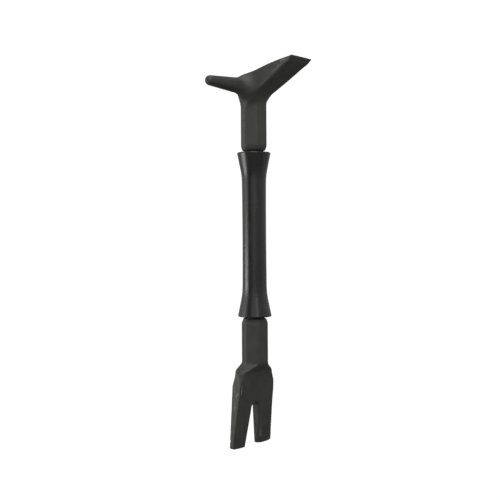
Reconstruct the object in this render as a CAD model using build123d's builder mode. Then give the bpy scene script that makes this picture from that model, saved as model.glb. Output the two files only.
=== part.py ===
from build123d import *
import os

os.makedirs("parts", exist_ok=True)

# Small double-ended pry tool: an adze and pick head and a fork, held on a grip by a
# tie rod. Millimetres. +Z runs along the tool from the fork to the head, the adze points
# along +X and the pick along -Y. The origin is on the axis, halfway up the grip.

# Grip sleeve
grip_length = 87.5
waist_radius = 6.34
barrel_radius = 6.5  # where the waist meets the flares
rim_radius = 9.07  # before its edge is rounded
flare_length = 12.4
flare_blend_radius = 30.0
rim_round = 0.7
grip_bore_radius = 4.0
bore_chamfer = 0.4

# Tie rod, its bushings, and the washers between the grip and the heads
rod_radius = 3.0
rod_length = 110.0
rod_chamfer = 0.8
rod_clearance = 0.08
bushing_length = 10.0
washer_radius = 5.0
washer_thickness = 0.9

# Hexagonal shanks, the same on both heads
hex_across_flats = 12.7
hex_edge_round = 1.0
shank_end_inset = 0.9  # how far each side leans in at the end face
shank_end_length = 2.5  # over which the sides lean in

# Moulded-in hexagonal threaded inserts
insert_length = 12.0
insert_across_flats = 8.0
insert_groove_radius = 3.6
insert_band_length = 4.0
rod_well_depth = 13.5  # from the shank's end face, past the rod's end

# Adze and pick head
adze_reach = 33.4
adze_root_width = 13.6
adze_tip_width = 15.8
adze_top_root_z = 84.0  # above the axis
adze_top_tip_z = 89.9
adze_top_crown = 0.9  # how far the top bows above a straight line
adze_tip_thickness = 1.6
adze_underside_root_z = 70.6  # where the underside would meet the axis
adze_underside_crown = 0.5  # how far the underside bows below a straight line
adze_lower_round = 2.2
adze_upper_round = 1.0
adze_stations = (0.04, 0.22, 0.45, 0.7, 0.9, 1.0)  # shares of the reach
adze_root_fillet = 5.0
head_back_top_z = 82.7
pick_axis_z = 78.1
pick_reach = 34.8
pick_root_radius = 5.0
pick_tip_radius = 2.6
pick_flare_start = 14.0  # from the axis, where the pick starts to widen into the head
pick_flare_radius = 7.8

# Fork
fork_neck_z = -67.4  # where the shank starts to spread and flatten
fork_shoulder_z = -74.0
fork_tip_z = -112.7
fork_shoulder_half_width = 12.9
fork_tip_half_width = 15.0
fork_shoulder_front_x = 2.2
fork_tip_front_x = -1.6
fork_shoulder_back_x = -4.3
fork_tip_back_x = -5.1
neck_stations = (0.0, 0.25, 0.5, 0.75, 1.0)  # shares of the neck's length
neck_side_slant = 0.15  # how far each side's middle stands out at the shoulder
notch_centre_y = -0.4
notch_root_z = -89.4
notch_root_radius = 3.0
notch_mouth_half_width = 4.7
fork_tip_corner = 1.5

half_grip = grip_length / 2
shank_end = half_grip + washer_thickness
hex_corner_radius = hex_across_flats / 3**0.5


def finish(piece, name):
    """Label a finished piece and write it as its own STEP file."""
    piece.part.label = name
    export_step(piece.part, f"parts/{name}.step")


def tube(inner, outer, low, high):
    """Plain round tube about Z between two radii and two heights."""
    with BuildPart() as made:
        with BuildSketch(Plane.XZ):
            with BuildLine():
                Polyline((inner, low), (outer, low), (outer, high), (inner, high), close=True)
            make_face()
        revolve(axis=Axis.Z)
    return made.part


# Grip sleeve: a long shallow waist with a straight flare at each end
flare_start = half_grip - flare_length
with BuildPart() as grip_sleeve:
    with BuildSketch(Plane.XZ) as grip_wall:
        with BuildLine():
            ThreePointArc(
                (barrel_radius, -flare_start),
                (waist_radius, 0),
                (barrel_radius, flare_start),
            )
            Polyline(
                (barrel_radius, flare_start),
                (rim_radius, half_grip),
                (grip_bore_radius, half_grip),
                (grip_bore_radius, -half_grip),
                (rim_radius, -half_grip),
                (barrel_radius, -flare_start),
            )
        make_face()
        corners = grip_wall.vertices().sort_by(Axis.X)
        chamfer(corners[:2], bore_chamfer)
        fillet(grip_wall.vertices().sort_by(Axis.X)[-2:], rim_round)
        flare_roots = grip_wall.vertices().filter_by(
            lambda v: abs(abs(v.Y) - flare_start) < 0.01 and abs(v.X - barrel_radius) < 0.01
        )
        fillet(flare_roots, flare_blend_radius)
    revolve(axis=Axis.Z)
finish(grip_sleeve, "grip_sleeve")

# Tie rod through the whole grip, threaded at both ends into the inserts
with BuildPart() as tie_rod:
    Cylinder(rod_radius, rod_length)
    chamfer(tie_rod.edges().filter_by(GeomType.CIRCLE), rod_chamfer)
finish(tie_rod, "tie_rod")

# A bushing inside each end of the grip keeps the rod central, and a washer
# parts the grip from the shank beyond it
for side, name in ((1, "upper"), (-1, "lower")):
    with BuildPart() as bushing:
        ends = sorted((side * half_grip, side * (half_grip - bushing_length)))
        add(tube(rod_radius + rod_clearance, grip_bore_radius, *ends))
        outer_rims = bushing.edges().filter_by(GeomType.CIRCLE).sort_by(SortBy.RADIUS)[-2:]
        chamfer(outer_rims, bore_chamfer)
    finish(bushing, f"{name}_bushing")

    with BuildPart() as washer:
        ends = sorted((side * half_grip, side * shank_end))
        add(tube(rod_radius + rod_clearance, washer_radius, *ends))
    finish(washer, f"{name}_washer")


def threaded_insert(side):
    """Hexagonal brass insert with a round groove between its two bands."""
    low, high = sorted((side * shank_end, side * (shank_end + insert_length)))
    with BuildPart() as insert:
        with BuildSketch(Plane.XY.offset(low)):
            RegularPolygon(insert_across_flats / 2, 6, major_radius=False, rotation=30)
        extrude(amount=high - low)
        groove_ends = (low + insert_band_length, high - insert_band_length)
        groove = tube(insert_groove_radius, insert_across_flats, *groove_ends)
        add(groove, mode=Mode.SUBTRACT)
        with BuildSketch(Plane.XY.offset(low)):
            Circle(rod_radius)
        extrude(amount=high - low, mode=Mode.SUBTRACT)
    return insert


def shank_pocket(side):
    """Everything that the moulding leaves out at its end: the insert and the rod's well."""
    low, high = sorted((side * shank_end, side * (shank_end + rod_well_depth)))
    with BuildPart() as pocket:
        add(threaded_insert(side).part)
        with BuildSketch(Plane.XY.offset(low)):
            Circle(rod_radius)
        extrude(amount=high - low)
    return pocket


def hex_profile(z, inset=0.0):
    """Rounded hexagon across the shank at one height, with a flat towards +X."""
    with BuildSketch(Plane.XY.offset(z)) as profile:
        RegularPolygon(hex_across_flats / 2 - inset, 6, major_radius=False, rotation=30)
        fillet(profile.vertices(), hex_edge_round - inset)
    return profile.sketch


def hex_shank(far_end, side):
    """Hexagonal bar along Z from the grip to its far end, its sides leaning in at the grip."""
    lean_start = side * (shank_end + shank_end_length)
    with BuildPart() as shank:
        extrude(hex_profile(lean_start), amount=far_end - lean_start)
        loft([hex_profile(side * shank_end, shank_end_inset), hex_profile(lean_start)])
    return shank


upper_insert = threaded_insert(1)
finish(upper_insert, "upper_insert")
lower_insert = threaded_insert(-1)
finish(lower_insert, "lower_insert")


def adze_top(x):
    """Height of the adze's slightly bowed top at a distance from the axis."""
    share = x / adze_reach
    line = adze_top_root_z + (adze_top_tip_z - adze_top_root_z) * share
    return line + adze_top_crown * 4 * share * (1 - share)


def adze_underside(x):
    """Height of the adze's slightly bowed underside at a distance from the axis."""
    share = x / adze_reach
    tip = adze_top_tip_z - adze_tip_thickness
    line = adze_underside_root_z + (tip - adze_underside_root_z) * share
    return line - adze_underside_crown * 4 * share * (1 - share)


def adze_section(x):
    """The adze cut across at x: flat top, upright sides and well-rounded lower corners."""
    half_width = (adze_root_width + (adze_tip_width - adze_root_width) * x / adze_reach) / 2
    low, high = adze_underside(x), adze_top(x)
    lower = min(adze_lower_round, 0.42 * (high - low))
    upper = min(adze_upper_round, 0.2 * (high - low))
    with BuildSketch(Plane.YZ.offset(x)) as section:
        with BuildLine():
            Polyline(
                (-half_width, low), (half_width, low), (half_width, high), (-half_width, high),
                close=True,
            )
        make_face()
        bottom_first = section.vertices().sort_by(Axis.Y)
        lower_corners, upper_corners = bottom_first[:2], bottom_first[2:]
        fillet(lower_corners, lower)
        fillet(upper_corners, upper)
    return section.sketch


# Pick: a blunt tapered round spike that flares into the head
with BuildPart() as pick:
    with BuildSketch(Plane.YZ):
        tip_centre = pick_reach - pick_tip_radius
        flare_share = pick_flare_start / tip_centre
        flare_start_radius = pick_root_radius + (pick_tip_radius - pick_root_radius) * flare_share
        shank_side = hex_corner_radius - hex_edge_round
        with BuildLine():
            Polyline(
                (-tip_centre, pick_axis_z + pick_tip_radius),
                (-pick_flare_start, pick_axis_z + flare_start_radius),
            )
            taper = Vector(
                tip_centre - pick_flare_start,
                flare_start_radius - pick_tip_radius,
            )
            TangentArc(
                (-pick_flare_start, pick_axis_z + flare_start_radius),
                (-shank_side, pick_axis_z + pick_flare_radius),
                tangent=taper,
            )
            Polyline(
                (-shank_side, pick_axis_z + pick_flare_radius),
                (0, pick_axis_z + pick_flare_radius),
                (0, pick_axis_z),
                (-pick_reach, pick_axis_z),
            )
            RadiusArc(
                (-pick_reach, pick_axis_z),
                (-tip_centre, pick_axis_z + pick_tip_radius),
                pick_tip_radius,
            )
        make_face()
    revolve(axis=Axis((0, 0, pick_axis_z), (0, 1, 0)))

# Web in the corner between the shank and the adze's underside
with BuildPart() as root_web:
    flat = hex_across_flats / 2
    with BuildSketch(Plane.XZ) as web_face:
        with BuildLine():
            Polyline(
                (0, adze_underside_root_z - adze_root_fillet),
                (flat, adze_underside_root_z - adze_root_fillet),
                (flat, adze_underside(flat)),
                (2 * adze_root_fillet + flat, adze_underside(2 * adze_root_fillet + flat)),
                (0, adze_top_root_z - adze_root_fillet),
                close=True,
            )
        make_face()
        corner = web_face.vertices().sort_by_distance((flat, adze_underside(flat)))[0]
        fillet(corner, adze_root_fillet)
    extrude(amount=flat / 3**0.5, both=True)

# Adze and pick head, cut off above by one sloping top
with BuildPart() as adze_pick_head:
    add(hex_shank(adze_top_root_z + adze_root_fillet, 1).part)
    add(pick.part)
    with BuildSketch(Plane.XZ):
        with BuildLine():
            Polyline(
                (-hex_across_flats / 2, shank_end - 1),
                (hex_across_flats, shank_end - 1),
                (hex_across_flats, adze_top(hex_across_flats)),
                (0, adze_top_root_z),
                (-hex_across_flats / 2, head_back_top_z),
                close=True,
            )
        make_face()
    extrude(amount=pick_reach, both=True, mode=Mode.INTERSECT)
    add(root_web.part)
    loft([adze_section(share * adze_reach) for share in adze_stations])
    add(shank_pocket(1).part, mode=Mode.SUBTRACT)
finish(adze_pick_head, "adze_pick_head")


def smooth_step(share):
    """Ease from 0 to 1 with level ends."""
    return share * share * (3 - 2 * share)


def neck_section(share):
    """Six-sided section between the hexagonal shank and the flat fork."""
    eased = smooth_step(share)
    side = hex_corner_radius + (fork_shoulder_half_width - hex_corner_radius) * eased
    flat_edge = hex_corner_radius / 2
    flat_edge += (fork_shoulder_half_width - neck_side_slant - flat_edge) * eased
    front = hex_across_flats / 2 + (fork_shoulder_front_x - hex_across_flats / 2) * eased
    back = -hex_across_flats / 2 + (fork_shoulder_back_x + hex_across_flats / 2) * eased
    middle = (front + back) / 2
    height = fork_neck_z + (fork_shoulder_z - fork_neck_z) * share
    with BuildSketch(Plane.XY.offset(height)) as section:
        with BuildLine():
            Polyline(
                (front, flat_edge), (middle, side), (back, flat_edge),
                (back, -flat_edge), (middle, -side), (front, -flat_edge),
                close=True,
            )
        make_face()
    return section.sketch


def at_height(sketch, z):
    """Corners of an upright sketch at one height; inside the sketch, Z is its own Y."""
    return sketch.vertices().filter_by(lambda v: abs(v.Y - z) < 0.01)


# Fork blade: its outline seen from the front, cut to the wedge seen from the side
with BuildPart() as fork_blade:
    with BuildSketch(Plane.YZ) as outline:
        with BuildLine():
            edge = [
                (fork_shoulder_half_width, fork_shoulder_z),
                (fork_tip_half_width, fork_tip_z),
                (-fork_tip_half_width, fork_tip_z),
                (-fork_shoulder_half_width, fork_shoulder_z),
            ]
            Polyline(*edge, close=True)
        make_face()
        fillet(at_height(outline, fork_tip_z), fork_tip_corner)
        with BuildSketch(Plane.YZ, mode=Mode.PRIVATE) as notch:
            with BuildLine():
                wall_start = notch_root_z - notch_root_radius
                Polyline(
                    (notch_centre_y - notch_root_radius, wall_start),
                    (notch_centre_y - notch_mouth_half_width, fork_tip_z),
                    (notch_centre_y + notch_mouth_half_width, fork_tip_z),
                    (notch_centre_y + notch_root_radius, wall_start),
                )
                ThreePointArc(
                    (notch_centre_y + notch_root_radius, wall_start),
                    (notch_centre_y, notch_root_z),
                    (notch_centre_y - notch_root_radius, wall_start),
                )
            make_face()
        add(notch.sketch_local, mode=Mode.SUBTRACT)
    extrude(amount=hex_across_flats, both=True)
    with BuildSketch(Plane.XZ):
        with BuildLine():
            Polyline(
                (fork_shoulder_front_x, fork_shoulder_z),
                (fork_tip_front_x, fork_tip_z),
                (fork_tip_back_x, fork_tip_z),
                (fork_shoulder_back_x, fork_shoulder_z),
                close=True,
            )
        make_face()
    extrude(amount=2 * fork_tip_half_width, both=True, mode=Mode.INTERSECT)

with BuildPart() as fork_head:
    add(hex_shank(fork_neck_z, -1).part)
    loft([neck_section(share) for share in neck_stations])
    add(fork_blade.part)
    add(shank_pocket(-1).part, mode=Mode.SUBTRACT)
finish(fork_head, "fork_head")
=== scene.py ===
import bpy
import math
import numpy as np
from mathutils import Matrix, Vector


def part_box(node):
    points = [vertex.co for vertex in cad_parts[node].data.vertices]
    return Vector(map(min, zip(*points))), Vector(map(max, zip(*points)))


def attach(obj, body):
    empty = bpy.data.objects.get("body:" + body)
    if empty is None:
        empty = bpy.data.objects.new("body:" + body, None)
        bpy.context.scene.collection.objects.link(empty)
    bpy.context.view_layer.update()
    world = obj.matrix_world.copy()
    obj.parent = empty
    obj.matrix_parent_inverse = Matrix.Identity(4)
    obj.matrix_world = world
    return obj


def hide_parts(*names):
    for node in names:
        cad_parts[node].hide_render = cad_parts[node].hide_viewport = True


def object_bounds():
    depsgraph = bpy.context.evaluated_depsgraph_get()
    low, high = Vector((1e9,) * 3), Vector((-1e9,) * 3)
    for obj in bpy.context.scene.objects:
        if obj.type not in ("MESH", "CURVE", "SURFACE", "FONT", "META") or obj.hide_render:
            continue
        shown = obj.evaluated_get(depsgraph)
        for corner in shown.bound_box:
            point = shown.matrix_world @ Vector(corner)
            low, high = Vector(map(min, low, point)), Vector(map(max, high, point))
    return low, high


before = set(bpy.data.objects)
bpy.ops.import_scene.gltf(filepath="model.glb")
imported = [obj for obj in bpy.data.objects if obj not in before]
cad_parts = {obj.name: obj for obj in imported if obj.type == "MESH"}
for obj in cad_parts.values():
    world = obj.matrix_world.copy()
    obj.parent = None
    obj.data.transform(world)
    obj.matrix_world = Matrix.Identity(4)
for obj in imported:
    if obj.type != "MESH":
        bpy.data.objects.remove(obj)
cadLow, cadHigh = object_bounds()
mm = 0.001  # the settings below are in millimetres, the scene is in metres


def nodeBox(node):
    low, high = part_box(node)
    return [v / mm for v in low], [v / mm for v in high]


headLow, headHigh = nodeBox("adze_pick_head")
forkLow, forkHigh = nodeBox("fork_head")
gripHigh = nodeBox("grip_sleeve")[1]


# distance fields: negative inside the piece, positive outside, in millimetres

def roundMax(a, b, r):
    return np.minimum(-r, np.maximum(a, b)) + np.hypot(np.maximum(a + r, 0), np.maximum(b + r, 0))


def roundMin(a, b, r):
    return -roundMax(-a, -b, r)


def easeStep(t):
    t = np.clip(t, 0, 1)
    return t * t * (3 - 2 * t)


def blendTo(a, b, t):
    return a + (b - a) * t


def distanceToStroke(x, y, z, start, end):
    # straight stroke between two points
    run = [e - s for s, e in zip(start, end)]
    size = max(sum(v * v for v in run), 1e-9)
    t = ((x - start[0]) * run[0] + (y - start[1]) * run[1] + (z - start[2]) * run[2]) / size
    t = np.clip(t, 0, 1)
    dx, dy, dz = (p - s - t * v for p, s, v in zip((x, y, z), start, run))
    return np.sqrt(dx * dx + dy * dy + dz * dz)


def dented(body, x, y, z, nicks):
    # each nick is a small ball pressed into the surface: x, y, z, radius
    for nx, ny, nz, radius in nicks:
        ball = np.sqrt((x - nx) ** 2 + (y - ny) ** 2 + (z - nz) ** 2) - radius
        body = roundMax(body, -ball, 0.15)
    return body


# hexagonal shank, the same on both heads, with sides that lean in at its end face

shank = {
    "flat": forkHigh[0],  # half the width across flats
    "edgeRound": 1.0,
    "endInset": 0.9,  # how far the sides lean in at the end face
    "endLength": 2.5,
    "endRound": 0.25,
}
shank["corner"] = shank["flat"] * 2 / 3**0.5


def hexBar(x, y, flat, r):
    lean = 3**0.5 / 2
    a = np.abs(x) - flat
    b = np.abs(0.5 * x + lean * y) - flat
    c = np.abs(0.5 * x - lean * y) - flat
    return roundMax(roundMax(a, b, r), c, r)


def leaningEnd(x, y, fromEnd, s):
    # the sides lean in towards the grip; fromEnd grows into the shank from its end face
    rise = s["endInset"] / s["endLength"]
    flat = s["flat"] - s["endInset"] + rise * fromEnd
    sides = hexBar(x, y, flat, s["edgeRound"] * 0.5) / math.hypot(1, rise)
    sides = np.where(fromEnd < 2 * s["endLength"], sides, -2.0)
    return roundMax(sides, -fromEnd, s["endRound"])


# adze and pick head

head = {
    "cell": 0.3,
    "end": headLow[2],
    "reach": headHigh[0],
    "rootHalfWidth": 6.8,
    "tipHalfWidth": headHigh[1],
    "topRoot": 84.1,
    "topTip": headHigh[2],
    "topCrown": 0.9,
    "backTop": 82.9,
    "tipThickness": 1.6,
    "tipBevelLength": 2.2,
    "tipBevelRise": 1.1,
    "undersideRoot": 70.6,
    "undersideCrown": 0.5,
    "lowerRound": 1.7,
    "upperRound": 0.9,
    "hubBlend": 4.2,
    "sideFade": 4.0,
    "pickAxis": 78.1,
    "pickReach": -headLow[1],
    "pickStart": 4.0,
    "pickRoot": 4.7,
    "pickTip": 2.6,
    "pickBlend": 7.5,
    "nicks": (
        (33.5, -5.2, 90.0, 0.55),
        (33.6, 2.1, 89.9, 0.4),
        (33.4, 6.3, 90.0, 0.5),
        (29.0, -7.7, 89.6, 0.45),
        (1.6, -35.2, 79.6, 0.6),
        (-1.8, -34.6, 76.6, 0.5),
    ),
    "scuffs": (
        ((30.5, -7.6, 88.6), (20.0, -7.2, 83.2), 0.45, 0.5),
        ((26.0, -7.4, 87.8), (28.5, -7.5, 88.6), 0.5, 0.6),
        ((2.0, -31.0, 81.0), (0.5, -24.0, 82.0), 0.5, 0.35),
        ((5.9, -3.6, 57.5), (5.9, -3.6, 54.5), 0.3, 0.2),
        ((-1.0, -6.6, 58.6), (-1.1, -6.6, 57.2), 0.3, 0.7),
        ((4.2, -4.4, 50.4), (3.2, -5.0, 50.2), 0.4, 0.5),
    ),
}


def adzeTop(x, s):
    share = np.clip(x / s["reach"], 0, 1)
    line = s["topRoot"] + (s["topTip"] - s["topRoot"]) * share + 4 * s["topCrown"] * share * (1 - share)
    return line + np.minimum(x, 0) * (s["topRoot"] - s["backTop"]) / shank["flat"]


def adzeUnderside(x, s):
    share = x / s["reach"]
    line = blendTo(s["undersideRoot"], s["topTip"] - s["tipThickness"], share)
    line = line - 4 * s["undersideCrown"] * share * (1 - share)
    bevelled = np.maximum(x - s["reach"] + s["tipBevelLength"], 0) / s["tipBevelLength"]
    return line + s["tipBevelRise"] * bevelled


def roundCone(x, y, z, s):
    length = s["pickReach"] - s["pickTip"] - s["pickStart"]
    q = np.hypot(x, z - s["pickAxis"])
    along = -y - s["pickStart"]
    b = (s["pickRoot"] - s["pickTip"]) / length
    a = math.sqrt(1 - b * b)
    k = -b * q + a * along
    nearRoot = np.hypot(q, along) - s["pickRoot"]
    nearTip = np.hypot(q, along - length) - s["pickTip"]
    flank = a * q + b * along - s["pickRoot"]
    return np.where(k < 0, nearRoot, np.where(k > a * length, nearTip, flank))


def headField(x, y, z):
    s = head
    top = (z - adzeTop(x, s)) * 0.98
    thick = np.maximum(adzeTop(x, s) - adzeUnderside(x, s), 0.3)
    slope = (s["topTip"] - s["tipThickness"] - s["undersideRoot"]) / s["reach"]
    low = (adzeUnderside(x, s) - z) / math.hypot(1, slope)
    ahead = np.maximum(low, -x)
    bar = hexBar(x, y, shank["flat"], shank["edgeRound"])
    body = roundMin(bar, ahead, s["hubBlend"])
    halfWidth = blendTo(s["rootHalfWidth"], s["tipHalfWidth"], x / s["reach"])
    # the side walls fade out below the blade, where the shank's own faces take over
    side = np.abs(y) - halfWidth - 2.0 * easeStep((low - 0.5) / s["sideFade"])
    body = roundMax(body, side, np.minimum(s["lowerRound"], 0.42 * thick))
    body = roundMax(body, x - s["reach"], 0.2)
    body = roundMin(body, roundCone(x, y, z, s), s["pickBlend"])
    body = roundMax(body, top, np.minimum(s["upperRound"], 0.3 * thick))
    body = roundMax(body, -shank["flat"] - x, shank["edgeRound"])
    body = dented(body, x, y, z, s["nicks"])
    return roundMax(body, leaningEnd(x, y, z - s["end"], shank), 0.3)


# fork: a flat blade that thins towards its tip, with a notch between two bevelled tines

fork = {
    "cell": 0.3,
    "end": forkHigh[2],
    "neck": -67.9,
    "shoulder": -73.8,
    "tip": forkLow[2],
    "shoulderHalfWidth": 12.9,
    "tipHalfWidth": forkHigh[1],
    "shoulderFront": 2.2,
    "tipFront": -1.6,
    "shoulderBack": -4.3,
    "tipBack": -5.1,
    "notchRoot": -89.4,
    "notchRootRadius": 3.0,
    "notchMouth": 4.7,
    "notchCentre": -0.4,
    "cornerRound": 1.3,
    "edgeRound": 0.35,
    "neckRound": 3.4,
    "outerBevelStart": -84.0,
    "outerBevelDepth": 1.0,  # into the thickness, at the tip
    "outerBevelWidth": 4.2,  # across the front face, at the tip
    "innerBevelStart": -92.0,
    "innerBevelDepth": 1.5,
    "innerBevelWidth": 1.6,
    "nicks": (
        (-4.6, -14.4, -108.5, 0.4),
        (-1.6, -8.3, -113.2, 0.5),
        (-1.5, 9.5, -113.3, 0.6),
        (-1.2, 14.4, -104.0, 0.5),
        (0.2, 13.8, -96.5, 0.4),
        (-2.2, 5.6, -112.8, 0.4),
    ),
    "scuffs": (
        ((1.4, -11.9, -79.2), (0.9, -12.3, -84.0), 0.35, 0.9),
        ((0.2, -12.9, -87.0), (-0.5, -13.3, -91.0), 0.4, 0.8),
        ((-0.4, -13.2, -83.4), (-1.6, -13.2, -84.6), 0.6, 0.55),
        ((-3.2, -12.6, -79.0), (-2.6, -13.0, -82.5), 0.5, 0.5),
        ((-1.9, -13.3, -88.6), (-2.4, -13.6, -92.0), 0.45, 0.5),
        ((-0.7, -10.3, -99.4), (-0.8, -9.9, -100.6), 0.35, 1.0),
        ((-0.8, -9.8, -100.8), (-0.9, -8.8, -101.6), 0.3, 0.6),
        ((-1.2, 4.4, -98.4), (-1.7, 5.4, -108.5), 0.7, 0.55),
        ((-0.2, 13.4, -93.4), (-0.6, 13.6, -96.4), 0.35, 0.6),
        ((-1.2, 13.9, -103.0), (-1.6, 14.1, -106.5), 0.35, 0.7),
        ((-1.6, 12.0, -112.6), (-1.6, 13.6, -111.8), 0.5, 0.6),
        ((-1.7, 5.6, -112.8), (-1.7, 7.6, -112.8), 0.4, 0.5),
        ((-3.9, -14.2, -103.0), (-4.2, -14.4, -111.0), 0.35, 0.5),
    ),
}


def bevel(x, y, front, side, depth, width):
    # a flat cut from the front face, width in from the side, to the side, depth back from the face
    size = np.hypot(depth, width)
    return ((x - front) * width + (y - side) * depth + depth * width) / size


def forkField(x, y, z):
    s = fork
    t = easeStep((s["neck"] - z) / (s["neck"] - s["shoulder"]))
    down = np.maximum(s["shoulder"] - z, 0) / (s["shoulder"] - s["tip"])
    spread = blendTo(s["shoulderHalfWidth"], s["tipHalfWidth"], down)
    front = blendTo(shank["flat"], blendTo(s["shoulderFront"], s["tipFront"], down), t)
    back = blendTo(-shank["flat"], blendTo(s["shoulderBack"], s["tipBack"], down), t)
    reach = blendTo(shank["corner"], spread, t)
    flatHalf = blendTo(shank["corner"] / 2, spread, t)
    middle = (front + back) / 2
    across = y
    y = np.abs(across)
    soft = blendTo(shank["edgeRound"], s["neckRound"], np.minimum(t * 2, 1))
    soft = blendTo(soft, s["edgeRound"], easeStep((s["shoulder"] + 1 - z) / 8))
    body = roundMax(x - front, back - x, s["edgeRound"])
    # slanted sides of the six-sided section run from the face's edge to its widest point
    for edge, sign, r in ((front, 1, soft), (back, -1, s["edgeRound"])):
        dx, dy = (edge - middle) * sign, reach - flatHalf
        size = np.hypot(dx, dy)
        slant = ((x - middle) * sign * dy + (y - reach) * dx) / size
        body = roundMax(body, slant, r)
    grown = np.clip((s["outerBevelStart"] - z) / (s["outerBevelStart"] - s["tip"]), 0.0, 1.0)
    depth = 0.15 + (s["outerBevelDepth"] - 0.15) * np.sqrt(grown)
    width = 0.15 + (s["outerBevelWidth"] - 0.15) * grown
    body = roundMax(body, bevel(x, y, front, spread, depth, width), 0.15)
    body = roundMax(body, s["tip"] - z, s["edgeRound"])
    # rounded outer corners at the tips
    corner = roundMax(y - spread, s["tip"] - z, s["cornerRound"])
    body = np.maximum(body, corner)
    drop = s["notchRoot"] - s["notchRootRadius"] - z
    flare = (s["notchMouth"] - s["notchRootRadius"]) / (s["notchRoot"] - s["notchRootRadius"] - s["tip"])
    inNotch = np.abs(across - s["notchCentre"])
    slot = (inNotch - s["notchRootRadius"] - flare * drop) / math.hypot(1, flare)
    notch = np.where(drop > 0, slot, np.hypot(inNotch, drop) - s["notchRootRadius"])
    body = roundMax(body, -notch, s["edgeRound"])
    grown = np.clip((s["innerBevelStart"] - z) / (s["innerBevelStart"] - s["tip"]), 0, 1)
    depth = 0.12 + s["innerBevelDepth"] * grown
    width = 0.12 + s["innerBevelWidth"] * grown
    body = roundMax(body, bevel(x, -notch, front, 0, depth, width), 0.15)
    body = dented(body, x, across, z, s["nicks"])
    return roundMax(body, leaningEnd(x, y, s["end"] - z, shank), 0.3)


# mesh of a field: one point in each cell that the surface crosses, then slid onto the surface

def surfaceNet(name, field, low, high, cell):
    steps = [int(math.ceil((h - l) / cell)) + 3 for l, h in zip(low, high)]
    axes = [l - cell + cell * np.arange(n) for l, n in zip(low, steps)]
    gx, gy, gz = np.meshgrid(*axes, indexing="ij", sparse=True)
    f = np.broadcast_to(field(gx, gy, gz), steps).astype(np.float32)
    inside = f < 0
    shape = [n - 1 for n in steps]
    total = np.zeros(shape + [3], np.float32)
    count = np.zeros(shape, np.float32)
    crossings = []
    for axis in range(3):
        a = [slice(None)] * 3
        b = [slice(None)] * 3
        a[axis], b[axis] = slice(0, -1), slice(1, None)
        fa, fb = f[tuple(a)], f[tuple(b)]
        hit = np.argwhere(inside[tuple(a)] != inside[tuple(b)])
        va, vb = fa[tuple(hit.T)], fb[tuple(hit.T)]
        point = hit.astype(np.float32)
        point[:, axis] += va / (va - vb)
        u, v = (axis + 1) % 3, (axis + 2) % 3
        corners = []
        for du, dv in ((1, 1), (0, 1), (0, 0), (1, 0)):
            c = hit.copy()
            c[:, u] -= du
            c[:, v] -= dv
            np.add.at(total, tuple(c.T), point)
            np.add.at(count, tuple(c.T), 1)
            corners.append(c)
        crossings.append((corners, va < 0))
    used = count > 0
    number = np.full(shape, -1)
    number[used] = np.arange(used.sum())
    points = total[used] / count[used][:, None]
    points = points * cell + np.array([a[0] for a in axes], np.float32)
    faces = []
    for corners, outward in crossings:
        quad = np.stack([number[tuple(c.T)] for c in corners], axis=1)
        quad[~outward] = quad[~outward][:, ::-1]
        faces.append(quad)
    quads = np.concatenate(faces)
    points = settle(points.astype(float), field, cell)
    mesh = bpy.data.meshes.new(name)
    mesh.from_pydata((points * mm).tolist(), [], quads.tolist())
    mesh.shade_smooth()
    mesh.update()
    piece = bpy.data.objects.new(name, mesh)
    bpy.context.scene.collection.objects.link(piece)
    print(name, "has", len(quads), "faces")
    return piece


def settle(points, field, cell):
    # slides each point along the slope of the field onto the surface
    h = cell * 0.1
    for _ in range(3):
        f = field(*points.T)
        slope = np.stack([
            (field(*(points + step).T) - field(*(points - step).T)) / (2 * h)
            for step in np.eye(3) * h
        ], axis=1)
        size = np.maximum((slope**2).sum(axis=1), 0.2)
        move = np.clip(-f / size, -cell * 0.4, cell * 0.4)
        points = points + slope * move[:, None]
    return points


def meshPoints(mesh):
    points = np.empty(len(mesh.vertices) * 3)
    mesh.vertices.foreach_get("co", points)
    normals = np.empty(len(mesh.vertices) * 3)
    mesh.vertices.foreach_get("normal", normals)
    return points.reshape(-1, 3) / mm, normals.reshape(-1, 3)


def addAttribute(mesh, name, values):
    made = mesh.attributes.new(name, "FLOAT", "POINT")
    made.data.foreach_set("value", values.astype(np.float32))


def markEdges(mesh, field, depth):
    # a point on a flat is as deep below the surface as it was pushed in; near an edge it is less
    points, normals = meshPoints(mesh)
    below = -field(*(points - normals * depth).T) / depth
    addAttribute(mesh, "edge", np.clip(1 - below, 0, 1))


def markScuffs(mesh, strokes):
    # each stroke is a start, an end, a half width and a strength
    points, _ = meshPoints(mesh)
    mark = np.zeros(len(points))
    for start, end, width, strength in strokes:
        gap = distanceToStroke(*points.T, start, end)
        mark = np.maximum(mark, strength * (1 - easeStep(gap / (2 * width))))
    addAttribute(mesh, "scuff", mark)


headPiece = surfaceNet("adzeAndPick", headField, headLow, headHigh, head["cell"])
forkPiece = surfaceNet("notchedFork", forkField, forkLow, forkHigh, fork["cell"])
edgeDepth = 0.7
markEdges(headPiece.data, headField, edgeDepth)
markEdges(forkPiece.data, forkField, edgeDepth)
markScuffs(headPiece.data, head["scuffs"])
markScuffs(forkPiece.data, fork["scuffs"])


# waisted grip, turned in geometry nodes from one profile rule

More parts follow.
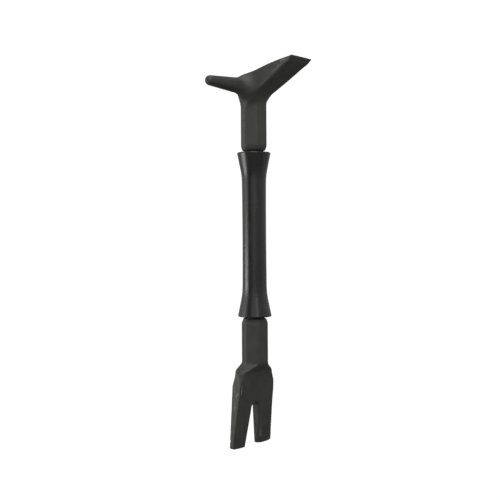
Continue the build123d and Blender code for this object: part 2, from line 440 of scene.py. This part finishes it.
grip = {
    "Half Length": gripHigh[2],
    "Waist Radius": 6.34,
    "Barrel Radius": 6.5,
    "Rim Radius": 9.03,
    "Flare Length": 12.4,
    "Blend": 1.1,
    "Rim Round": 0.7,
    "Bore Radius": 4.0,
}
gripRows = 170
gripAround = 144
gripScuffs = (
    ((1.0, -6.4, 8.0), (3.0, -5.7, 3.0), 0.16, 0.5),
    ((5.2, -3.8, 18.0), (5.6, -3.2, 13.5), 0.14, 0.8),
    ((5.0, -4.0, -6.0), (4.6, -4.6, -12.0), 0.12, 0.35),
    ((-5.4, -3.4, 12.0), (-5.4, -3.4, -10.0), 0.12, 0.35),
    ((-4.9, -4.1, 24.0), (-4.8, -4.2, 6.0), 0.1, 0.3),
)


class Calc:
    # short way to write sums as math nodes
    def __init__(self, tree):
        self.tree = tree

    def __call__(self, operation, *values):
        node = self.tree.nodes.new("ShaderNodeMath")
        node.operation = operation
        for i, value in enumerate(values):
            if isinstance(value, bpy.types.NodeSocket):
                self.tree.links.new(value, node.inputs[i])
            else:
                node.inputs[i].default_value = value
        return node.outputs[0]


def gripTree(finish):
    tree = bpy.data.node_groups.new("turnedGrip", "GeometryNodeTree")
    tree.interface.new_socket("Geometry", in_out="OUTPUT", socket_type="NodeSocketGeometry")
    for name, value in grip.items():
        socket = tree.interface.new_socket(name, in_out="INPUT", socket_type="NodeSocketFloat")
        socket.default_value = value
    tree.interface.new_socket("Finish", in_out="INPUT", socket_type="NodeSocketMaterial")
    nodes, links = tree.nodes, tree.links
    given = nodes.new("NodeGroupInput").outputs
    calc = Calc(tree)
    sheet = nodes.new("GeometryNodeMeshGrid")
    sheet.inputs["Size X"].default_value = 1
    sheet.inputs["Size Y"].default_value = 1
    sheet.inputs["Vertices X"].default_value = gripAround + 1
    sheet.inputs["Vertices Y"].default_value = gripRows + 3
    where = nodes.new("GeometryNodeInputPosition")
    split = nodes.new("ShaderNodeSeparateXYZ")
    links.new(where.outputs[0], split.inputs[0])
    turn = calc("MULTIPLY", calc("ADD", split.outputs[0], 0.5), 2 * math.pi)
    row = calc("ROUND", calc("MULTIPLY", calc("ADD", split.outputs[1], 0.5), gripRows + 2))
    # rows 0 to gripRows - 1 run up the outside, the next two are the bore, the last closes it
    last = calc("GREATER_THAN", row, gripRows + 1.5)
    outer = calc("MULTIPLY", calc("MINIMUM", row, gripRows - 1), calc("SUBTRACT", 1, last))
    half = given["Half Length"]
    lift = calc("COSINE", calc("MULTIPLY", outer, math.pi / (gripRows - 1)))
    up = calc("MULTIPLY", calc("MULTIPLY", lift, half), -1)
    isBore = calc("MULTIPLY", calc("GREATER_THAN", row, gripRows - 0.5), calc("SUBTRACT", 1, last))
    isLowBore = calc("MULTIPLY", isBore, calc("GREATER_THAN", row, gripRows + 0.5))
    up = calc("SUBTRACT", up, calc("MULTIPLY", calc("MULTIPLY", isLowBore, half), 2))
    away = calc("ABSOLUTE", up)
    flareStart = calc("SUBTRACT", half, given["Flare Length"])
    share = calc("DIVIDE", away, flareStart)
    swell = calc("SUBTRACT", given["Barrel Radius"], given["Waist Radius"])
    waist = calc("ADD", given["Waist Radius"], calc("MULTIPLY", swell, calc("POWER", share, 2)))
    rise = calc("SUBTRACT", given["Rim Radius"], given["Barrel Radius"])
    slope = calc("DIVIDE", rise, given["Flare Length"])
    flare = calc("ADD", given["Barrel Radius"], calc("MULTIPLY", slope, calc("SUBTRACT", away, flareStart)))
    radius = calc("SMOOTH_MAX", waist, flare, given["Blend"])
    rimRound = given["Rim Round"]
    into = calc("MAXIMUM", calc("SUBTRACT", away, calc("SUBTRACT", half, rimRound)), 0)
    left = calc("SUBTRACT", calc("MULTIPLY", rimRound, rimRound), calc("MULTIPLY", into, into))
    drop = calc("SUBTRACT", rimRound, calc("SQRT", calc("MAXIMUM", left, 0)))
    radius = calc("SUBTRACT", radius, drop)
    boreStep = calc("SUBTRACT", given["Bore Radius"], radius)
    radius = calc("ADD", radius, calc("MULTIPLY", boreStep, isBore))
    place = nodes.new("ShaderNodeCombineXYZ")
    links.new(calc("MULTIPLY", calc("MULTIPLY", calc("COSINE", turn), radius), mm), place.inputs[0])
    links.new(calc("MULTIPLY", calc("MULTIPLY", calc("SINE", turn), radius), mm), place.inputs[1])
    links.new(calc("MULTIPLY", up, mm), place.inputs[2])
    move = nodes.new("GeometryNodeSetPosition")
    links.new(sheet.outputs["Mesh"], move.inputs["Geometry"])
    links.new(place.outputs[0], move.inputs["Position"])
    merge = nodes.new("GeometryNodeMergeByDistance")
    merge.inputs["Distance"].default_value = 0.000001
    links.new(move.outputs[0], merge.inputs["Geometry"])
    real = nodes.new("GeometryNodeRealizeInstances")
    links.new(merge.outputs[0], real.inputs[0])
    coat = nodes.new("GeometryNodeSetMaterial")
    links.new(real.outputs[0], coat.inputs["Geometry"])
    links.new(given["Finish"], coat.inputs["Material"])
    links.new(coat.outputs[0], nodes.new("NodeGroupOutput").inputs[0])
    return tree


def growPiece(name, tree, values):
    # runs a geometry nodes tree and keeps its result as a plain mesh
    seed = bpy.data.objects.new(name, bpy.data.meshes.new(name + "Seed"))
    bpy.context.scene.collection.objects.link(seed)
    modifier = seed.modifiers.new("grow", "NODES")
    modifier.node_group = tree
    for item in tree.interface.items_tree:
        if item.in_out == "INPUT" and item.name in values:
            modifier[item.identifier] = values[item.name]
    graph = bpy.context.evaluated_depsgraph_get()
    mesh = bpy.data.meshes.new_from_object(seed.evaluated_get(graph))
    mesh.name = name
    seed.modifiers.clear()
    seed.data = mesh
    print(name, "has", len(mesh.polygons), "faces")
    return seed


# shader node groups that the finishes share

def newGroup(name, inputs, outputs):
    tree = bpy.data.node_groups.new(name, "ShaderNodeTree")
    for label, kind, value in inputs:
        socket = tree.interface.new_socket(label, in_out="INPUT", socket_type=kind)
        if value is not None:
            socket.default_value = value
    for label, kind in outputs:
        tree.interface.new_socket(label, in_out="OUTPUT", socket_type=kind)
    given = tree.nodes.new("NodeGroupInput").outputs
    result = tree.nodes.new("NodeGroupOutput").inputs
    return tree, given, result


real, vector = "NodeSocketFloat", "NodeSocketVector"


def noise(tree, place, scale, detail=3.0, rough=0.55):
    node = tree.nodes.new("ShaderNodeTexNoise")
    tree.links.new(place, node.inputs["Vector"])
    if isinstance(scale, bpy.types.NodeSocket):
        tree.links.new(scale, node.inputs["Scale"])
    else:
        node.inputs["Scale"].default_value = scale
    node.inputs["Detail"].default_value = detail
    node.inputs["Roughness"].default_value = rough
    return node.outputs["Fac"]


def stretched(tree, place, scale):
    node = tree.nodes.new("ShaderNodeMapping")
    tree.links.new(place, node.inputs["Vector"])
    node.inputs["Scale"].default_value = scale
    return node.outputs[0]


def ramp(tree, value, low, high):
    # 0 below low, 1 above high, smooth between
    node = tree.nodes.new("ShaderNodeMapRange")
    node.interpolation_type = "SMOOTHSTEP"
    tree.links.new(value, node.inputs["Value"])
    for i, limit in ((1, low), (2, high)):
        if isinstance(limit, bpy.types.NodeSocket):
            tree.links.new(limit, node.inputs[i])
        else:
            node.inputs[i].default_value = limit
    return node.outputs[0]


def mouldGrainGroup():
    # fine spark-eroded texture with a slight cloudiness
    tree, given, result = newGroup("mouldGrain", (
        ("Vector", vector, None), ("Scale", real, 3000.0), ("Cloud Scale", real, 120.0),
    ), (("Height", real), ("Cloud", real)))
    fine = noise(tree, given["Vector"], given["Scale"], 2.0, 0.6)
    calc = Calc(tree)
    coarse = noise(tree, given["Vector"], calc("MULTIPLY", given["Scale"], 0.35), 2.0)
    tree.links.new(calc("ADD", calc("MULTIPLY", fine, 0.6), calc("MULTIPLY", coarse, 0.4)), result["Height"])
    cloud = noise(tree, given["Vector"], given["Cloud Scale"], 4.0)
    tree.links.new(ramp(tree, cloud, 0.3, 0.7), result["Cloud"])
    return tree


def edgeWearGroup():
    # worn edges, broken up so that no edge is worn evenly
    tree, given, result = newGroup("edgeWear", (
        ("Vector", vector, None), ("Edge", real, 0.0), ("Start", real, 0.25), ("Full", real, 0.6),
        ("Break Up", real, 500.0), ("Amount", real, 1.0),
    ), (("Wear", real),))
    calc = Calc(tree)
    patch = ramp(tree, noise(tree, given["Vector"], given["Break Up"], 4.0, 0.65), 0.42, 0.62)
    edge = ramp(tree, given["Edge"], given["Start"], given["Full"])
    tree.links.new(calc("MULTIPLY", calc("MULTIPLY", edge, patch), given["Amount"]), result["Wear"])
    return tree


def scuffGroup():
    # long faint rub marks with the piece, and the listed marks broken up by noise
    tree, given, result = newGroup("scuffs", (
        ("Vector", vector, None), ("Mark", real, 0.0), ("Break Up", real, 1500.0), ("Rub", real, 0.1),
    ), (("Scuff", real), ("Rub", real)))
    calc = Calc(tree)
    torn = ramp(tree, noise(tree, given["Vector"], given["Break Up"], 3.0, 0.7), 0.36, 0.58)
    kept = calc("ADD", calc("MULTIPLY", torn, 0.75), 0.25)
    marks = ramp(tree, calc("MULTIPLY", given["Mark"], kept), 0.08, 0.9)
    tree.links.new(marks, result["Scuff"])
    streaks = noise(tree, stretched(tree, given["Vector"], (1800, 1800, 60)), 1.0, 3.0, 0.6)
    tree.links.new(calc("MULTIPLY", ramp(tree, streaks, 0.58, 0.75), given["Rub"]), result["Rub"])
    return tree


def dustGroup():
    # sparse pale specks
    tree, given, result = newGroup("dustSpecks", (
        ("Vector", vector, None), ("Scale", real, 900.0), ("Amount", real, 0.2),
    ), (("Dust", real),))
    calc = Calc(tree)
    cells = tree.nodes.new("ShaderNodeTexVoronoi")
    tree.links.new(given["Vector"], cells.inputs["Vector"])
    tree.links.new(given["Scale"], cells.inputs["Scale"])
    dot = calc("SUBTRACT", 1, ramp(tree, cells.outputs["Distance"], 0.05, 0.2))
    some = ramp(tree, noise(tree, given["Vector"], calc("MULTIPLY", given["Scale"], 0.3), 2.0), 0.55, 0.7)
    tree.links.new(calc("MULTIPLY", calc("MULTIPLY", dot, some), given["Amount"]), result["Dust"])
    return tree


grainNodes = mouldGrainGroup()
wearNodes = edgeWearGroup()
scuffNodes = scuffGroup()
dustNodes = dustGroup()


def newMaterial(name):
    made = bpy.data.materials.new(name)
    made.use_nodes = True
    tree = made.node_tree
    place = tree.nodes.new("ShaderNodeTexCoord").outputs["Object"]
    return made, tree, tree.nodes["Principled BSDF"], place


def useGroup(tree, group, place, **values):
    node = tree.nodes.new("ShaderNodeGroup")
    node.node_tree = group
    tree.links.new(place, node.inputs["Vector"])
    for label, value in values.items():
        socket = node.inputs[label.replace("_", " ")]
        if isinstance(value, bpy.types.NodeSocket):
            tree.links.new(value, socket)
        else:
            socket.default_value = value
    return node.outputs


def attribute(tree, name):
    node = tree.nodes.new("ShaderNodeAttribute")
    node.attribute_name = name
    return node.outputs["Fac"]


def mixed(tree, amount, a, b):
    node = tree.nodes.new("ShaderNodeMix")
    node.data_type = "RGBA"
    tree.links.new(amount, node.inputs["Factor"])
    for socket, value in ((node.inputs[6], a), (node.inputs[7], b)):
        if isinstance(value, bpy.types.NodeSocket):
            tree.links.new(value, socket)
        else:
            socket.default_value = (*value, 1)
    return node.outputs[2]


def bumped(tree, shader, height, strength, distance):
    node = tree.nodes.new("ShaderNodeBump")
    node.inputs["Strength"].default_value = strength
    node.inputs["Distance"].default_value = distance
    tree.links.new(height, node.inputs["Height"])
    tree.links.new(node.outputs[0], shader.inputs["Normal"])


nylon = {
    "dark": (0.034, 0.034, 0.0315),
    "cloudy": (0.043, 0.043, 0.0395),
    "worn": (0.08, 0.08, 0.077),
    "scuffed": (0.42, 0.42, 0.41),
    "roughness": 0.5,
    "wornRoughness": 0.7,
    "grainStrength": 0.35,
    "grainDepth": 0.00006,
}


def mouldedNylon(s):
    made, tree, shader, place = newMaterial("mouldedNylon")
    calc = Calc(tree)
    grain = useGroup(tree, grainNodes, place, Scale=3200.0, Cloud_Scale=150.0)
    wear = useGroup(tree, wearNodes, place, Edge=attribute(tree, "edge"), Start=0.3, Full=0.75, Amount=0.7)
    marks = useGroup(tree, scuffNodes, place, Mark=attribute(tree, "scuff"), Rub=0.12)
    specks = useGroup(tree, dustNodes, place, Scale=700.0, Amount=0.18)
    base = mixed(tree, grain["Cloud"], s["dark"], s["cloudy"])
    base = mixed(tree, calc("MAXIMUM", wear["Wear"], marks["Rub"]), base, s["worn"])
    base = mixed(tree, calc("MAXIMUM", marks["Scuff"], specks["Dust"]), base, s["scuffed"])
    tree.links.new(base, shader.inputs["Base Color"])
    rubbed = calc("MAXIMUM", wear["Wear"], marks["Scuff"])
    rough = calc("ADD", s["roughness"], calc("MULTIPLY", rubbed, s["wornRoughness"] - s["roughness"]))
    rough = calc("ADD", rough, calc("MULTIPLY", grain["Height"], 0.08))
    tree.links.new(rough, shader.inputs["Roughness"])
    shader.inputs["Specular IOR Level"].default_value = 0.5
    height = calc("SUBTRACT", grain["Height"], calc("MULTIPLY", rubbed, 0.8))
    bumped(tree, shader, height, s["grainStrength"], s["grainDepth"])
    return made


gloss = {
    "base": (0.010, 0.010, 0.0095),
    "rubbed": (0.09, 0.09, 0.088),
    "roughness": 0.26,
}


def smoothGrip(s):
    made, tree, shader, place = newMaterial("smoothGrip")
    calc = Calc(tree)
    grain = useGroup(tree, grainNodes, place, Scale=1400.0, Cloud_Scale=90.0)
    marks = useGroup(tree, scuffNodes, place, Mark=attribute(tree, "scuff"), Rub=0.5, Break_Up=2600.0)
    specks = useGroup(tree, dustNodes, place, Scale=600.0, Amount=0.12)
    rubs = calc("MULTIPLY", marks["Rub"], 0.4)
    touched = calc("MAXIMUM", calc("MAXIMUM", marks["Scuff"], rubs), specks["Dust"])
    tree.links.new(mixed(tree, touched, s["base"], s["rubbed"]), shader.inputs["Base Color"])
    rough = calc("ADD", s["roughness"], calc("MULTIPLY", grain["Cloud"], 0.05))
    rough = calc("ADD", rough, calc("MULTIPLY", marks["Rub"], 0.12))
    rough = calc("ADD", rough, calc("MULTIPLY", marks["Scuff"], 0.3))
    tree.links.new(rough, shader.inputs["Roughness"])
    height = calc("ADD", grain["Height"], calc("MULTIPLY", marks["Rub"], 0.5))
    bumped(tree, shader, height, 0.12, 0.00003)
    return made


steel = {"base": (0.42, 0.42, 0.41), "stain": (0.3, 0.3, 0.29), "roughness": 0.34, "lines": 9000}
darkSteel = {"base": (0.035, 0.035, 0.036), "stain": (0.05, 0.048, 0.045), "roughness": 0.5, "lines": 5000}
brass = {"base": (0.62, 0.46, 0.2), "stain": (0.5, 0.36, 0.15), "roughness": 0.28, "lines": 7000}


def machinedMetal(name, s):
    # turned or plated metal: fine lathe lines round the axis and slight staining
    made, tree, shader, place = newMaterial(name)
    calc = Calc(tree)
    grain = useGroup(tree, grainNodes, place, Scale=900.0, Cloud_Scale=260.0)
    tree.links.new(mixed(tree, grain["Cloud"], s["base"], s["stain"]), shader.inputs["Base Color"])
    rings = noise(tree, stretched(tree, place, (300, 300, s["lines"])), 1.0, 2.0)
    tree.links.new(calc("ADD", s["roughness"], calc("MULTIPLY", rings, 0.18)), shader.inputs["Roughness"])
    shader.inputs["Metallic"].default_value = 1.0
    bumped(tree, shader, rings, 0.25, 0.00002)
    return made


def naturalNylon():
    made, tree, shader, place = newMaterial("naturalNylon")
    calc = Calc(tree)
    grain = useGroup(tree, grainNodes, place, Scale=1500.0, Cloud_Scale=200.0)
    base = mixed(tree, grain["Cloud"], (0.62, 0.6, 0.53), (0.7, 0.68, 0.62))
    tree.links.new(base, shader.inputs["Base Color"])
    tree.links.new(calc("ADD", 0.4, calc("MULTIPLY", grain["Height"], 0.15)), shader.inputs["Roughness"])
    shader.inputs["Subsurface Weight"].default_value = 0.2
    shader.inputs["Subsurface Scale"].default_value = 0.001
    bumped(tree, shader, grain["Height"], 0.2, 0.00004)
    return made


nylonFinish = mouldedNylon(nylon)
gripFinish = smoothGrip(gloss)
steelFinish = machinedMetal("platedSteel", steel)
darkSteelFinish = machinedMetal("blackenedSteel", darkSteel)
brassFinish = machinedMetal("insertBrass", brass)
paleNylonFinish = naturalNylon()
print("finishes are made")

gripPiece = growPiece("waistedGrip", gripTree(gripFinish), {**grip, "Finish": gripFinish})
markScuffs(gripPiece.data, gripScuffs)


def hold(piece, node, finish=None):
    if finish:
        piece.data.materials.append(finish)
    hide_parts(node)
    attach(piece, "root")


hold(headPiece, "adze_pick_head", nylonFinish)
hold(forkPiece, "fork_head", nylonFinish)
hold(gripPiece, "grip_sleeve")


def paint(node, finish):
    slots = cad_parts[node].data.materials
    if len(slots):
        for i in range(len(slots)):
            slots[i] = finish
    else:
        slots.append(finish)


paint("tie_rod", steelFinish)
for node in ("upper_washer", "lower_washer"):
    paint(node, darkSteelFinish)
for node in ("upper_insert", "lower_insert"):
    paint(node, brassFinish)
for node in ("upper_bushing", "lower_bushing"):
    paint(node, paleNylonFinish)


# camera

view = {
    "azimuth": 43.0,
    "distance": 427.6,
    "lens": 57.6,
    "eyeHeight": 1.34,
    "aside": 2.3,  # the axis stands this far right of the picture's middle
    "roll": 0.38,
    "shift": -0.036,
}


def makeCamera(s):
    turn = math.radians(s["azimuth"])
    back = Vector((math.sin(turn), -math.cos(turn), 0))
    right = Vector((math.cos(turn), math.sin(turn), 0))
    data = bpy.data.cameras.new("camera")
    data.lens = s["lens"]
    data.sensor_width = 36
    data.shift_y = s["shift"]
    data.clip_start, data.clip_end = 0.01, 20
    cam = bpy.data.objects.new("camera", data)
    bpy.context.scene.collection.objects.link(cam)
    cam.location = (back * s["distance"] - right * s["aside"]) * mm + Vector((0, 0, s["eyeHeight"] * mm))
    face = Matrix((right, Vector((0, 0, 1)), back)).transposed()
    cam.rotation_mode = "QUATERNION"
    cam.rotation_quaternion = (face @ Matrix.Rotation(math.radians(-s["roll"]), 3, "Z")).to_quaternion()
    bpy.context.scene.camera = cam
    return back, right


towardCamera, towardRight = makeCamera(view)


# pale floor and plain room: white where the camera looks past the object, dimmer as a light source

room = {"seen": 1.05, "floor": 0.25, "strength": 0.2}


def makeFloor(s):
    mesh = bpy.data.meshes.new("floor")
    half, z = 4.0, cadLow[2] - 0.0002
    corners = [(-half, -half, z), (half, -half, z), (half, half, z), (-half, half, z)]
    mesh.from_pydata(corners, [], [(0, 1, 2, 3)])
    floor = bpy.data.objects.new("floor", mesh)
    bpy.context.scene.collection.objects.link(floor)
    made = bpy.data.materials.new("paleFloor")
    made.use_nodes = True
    nodes, links = made.node_tree.nodes, made.node_tree.links
    white = nodes.new("ShaderNodeEmission")
    white.inputs["Color"].default_value = (1, 1, 1, 1)
    white.inputs["Strength"].default_value = s["seen"]
    dull = nodes.new("ShaderNodeBsdfDiffuse")
    dull.inputs["Color"].default_value = (s["floor"], s["floor"], s["floor"], 1)
    path = nodes.new("ShaderNodeLightPath")
    mix = nodes.new("ShaderNodeMixShader")
    links.new(path.outputs["Is Camera Ray"], mix.inputs[0])
    links.new(dull.outputs[0], mix.inputs[1])
    links.new(white.outputs[0], mix.inputs[2])
    links.new(mix.outputs[0], nodes["Material Output"].inputs["Surface"])
    mesh.materials.append(made)


def makeWorld(s):
    world = bpy.data.worlds.new("studio")
    bpy.context.scene.world = world
    world.use_nodes = True
    nodes, links = world.node_tree.nodes, world.node_tree.links
    seen = nodes["Background"]
    seen.inputs["Color"].default_value = (1, 1, 1, 1)
    seen.inputs["Strength"].default_value = s["seen"]
    dim = nodes.new("ShaderNodeBackground")
    dim.inputs["Color"].default_value = (1, 1, 1, 1)
    dim.inputs["Strength"].default_value = s["strength"]
    path = nodes.new("ShaderNodeLightPath")
    mix = nodes.new("ShaderNodeMixShader")
    links.new(path.outputs["Is Camera Ray"], mix.inputs[0])
    links.new(dim.outputs[0], mix.inputs[1])
    links.new(seen.outputs[0], mix.inputs[2])
    links.new(mix.outputs[0], nodes["World Output"].inputs["Surface"])


# softboxes: how far towards the camera, to the right and up, in metres; width, height, watts

softboxes = {
    "leftSoftbox": ((0.05, -0.6, 0.05), 0.5, 0.35, 0.7),
    "leftLow": ((0.05, -0.38, -0.06), 0.2, 0.08, 0.35),
    "rightSoftbox": ((0.05, 0.6, 0.05), 0.5, 0.6, 0.45),
    "rightFront": ((0.5, 0.45, 0.05), 0.4, 0.5, 0.25),
    "overhead": ((0.1, 0.0, 0.7), 0.6, 0.6, 2.2),
    "highFront": ((0.6, 0.0, 0.6), 0.5, 0.5, 2.6),
    "frontFill": ((0.9, -0.05, 0.1), 0.8, 0.8, 1.35),
    "nearCamera": ((0.8, 0.27, 0.25), 0.15, 0.15, 0.25),
    "backLeft": ((-0.4, -0.5, 0.1), 0.5, 0.6, 0.4),
    "backRight": ((-0.4, 0.5, 0.1), 0.5, 0.6, 0.35),
}


def makeSoftbox(name, place, width, height, watts):
    data = bpy.data.lights.new(name, "AREA")
    data.shape = "RECTANGLE"
    data.size, data.size_y = width, height
    data.energy = watts
    lamp = bpy.data.objects.new(name, data)
    bpy.context.scene.collection.objects.link(lamp)
    forward, aside, up = place
    lamp.location = towardCamera * forward + towardRight * aside + Vector((0, 0, up))
    lamp.rotation_mode = "QUATERNION"
    lamp.rotation_quaternion = (-lamp.location).to_track_quat("-Z", "Y")
    lamp.visible_camera = False


makeFloor(room)
makeWorld(room)
for name, (place, width, height, watts) in softboxes.items():
    makeSoftbox(name, place, width, height, watts)
bpy.context.scene.view_settings.view_transform = "Standard"
print("camera, floor and lights are set")
